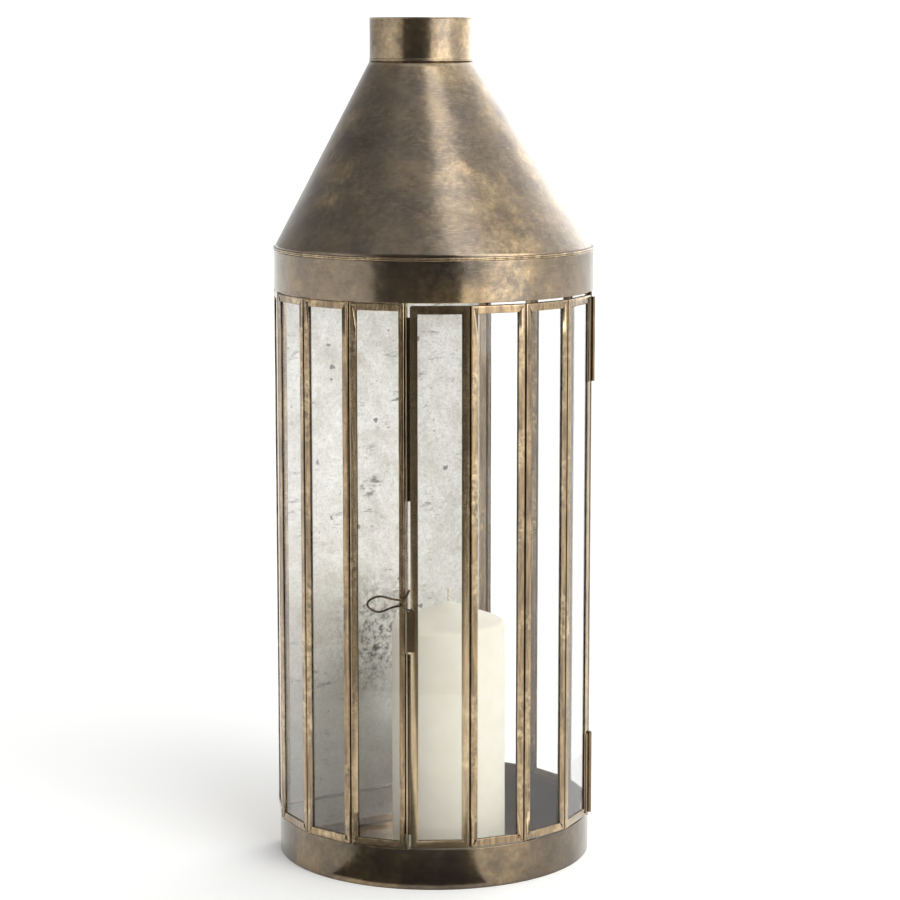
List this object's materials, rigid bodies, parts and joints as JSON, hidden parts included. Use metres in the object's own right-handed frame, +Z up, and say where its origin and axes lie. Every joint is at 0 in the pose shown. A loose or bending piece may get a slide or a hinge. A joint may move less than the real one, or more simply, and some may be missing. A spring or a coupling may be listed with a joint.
{
  "type": "candle lantern",
  "caption": "Tall flat-backed candle lantern of aged brass and glass panes, with a hinged door, a mirror behind the pillar candle and a conical roof with an open collar.",
  "frame": {"origin": "centre of the round front, on the plane that the lantern stands on", "axes": "+Z up, -Y out through the door, +X to the hinge side"},
  "size_m": [0.2252, 0.1811, 0.5905],
  "materials": {
    "aged_brass_sheet": "dark blotchy patina over satin brass sheet",
    "brass_channel": "rubbed antique brass glazing channel",
    "brass_fittings": "dark antique brass",
    "clear_glass": "clear float glass",
    "antique_mirror": "foxed antique mirror, clouded and flecked",
    "candle_wax": "smooth ivory wax",
    "cotton_wick": "waxed cotton"
  },
  "bodies": {
    "casing": {"back_sheet": "aged_brass_sheet", "base_ring": "aged_brass_sheet", "chimney_collar": "aged_brass_sheet", "edge_lip": "brass_channel", "floor_plate": "aged_brass_sheet", "left_frame_1": "brass_channel", "left_frame_2": "brass_channel", "left_frame_3": "brass_channel", "left_frame_4": "brass_channel", "left_glass_1": "clear_glass", "left_glass_2": "clear_glass", "left_glass_3": "clear_glass", "left_glass_4": "clear_glass", "lower_door_stop": "brass_channel", "lower_hinge_fixed_leaf": "brass_fittings", "lower_hinge_pin": "brass_fittings", "mirror_frame": "brass_channel", "mirror_glass": "antique_mirror", "right_frame_1": "brass_channel", "right_frame_2": "brass_channel", "right_frame_3": "brass_channel", "right_frame_4": "brass_channel", "right_glass_1": "clear_glass", "right_glass_2": "clear_glass", "right_glass_3": "clear_glass", "right_glass_4": "clear_glass", "roof_band": "aged_brass_sheet", "roof_cone": "aged_brass_sheet", "upper_door_stop": "brass_channel", "upper_hinge_fixed_leaf": "brass_fittings", "upper_hinge_pin": "brass_fittings"},
    "door": {"door_frame_1": "brass_channel", "door_frame_2": "brass_channel", "door_frame_3": "brass_channel", "door_frame_4": "brass_channel", "door_glass_1": "clear_glass", "door_glass_2": "clear_glass", "door_glass_3": "clear_glass", "door_glass_4": "clear_glass", "handle_tab": "brass_fittings", "handle_wire": "brass_fittings", "lower_hinge_door_leaf": "brass_fittings", "upper_hinge_door_leaf": "brass_fittings"},
    "candle": {"candle": "candle_wax", "wick": "cotton_wick"}
  },
  "joints": [
    {"name": "door_hinge", "type": "hinge", "parent": "casing", "child": "door", "pos_m": [0.07687, -0.08418, 0.2], "axis": [0, 0, 1], "range_deg": [0, 120]},
    {"name": "candle_lift", "type": "slide", "parent": "casing", "child": "candle", "axis": [0, 0, 1], "range_m": [0, 0.12]}
  ]
}
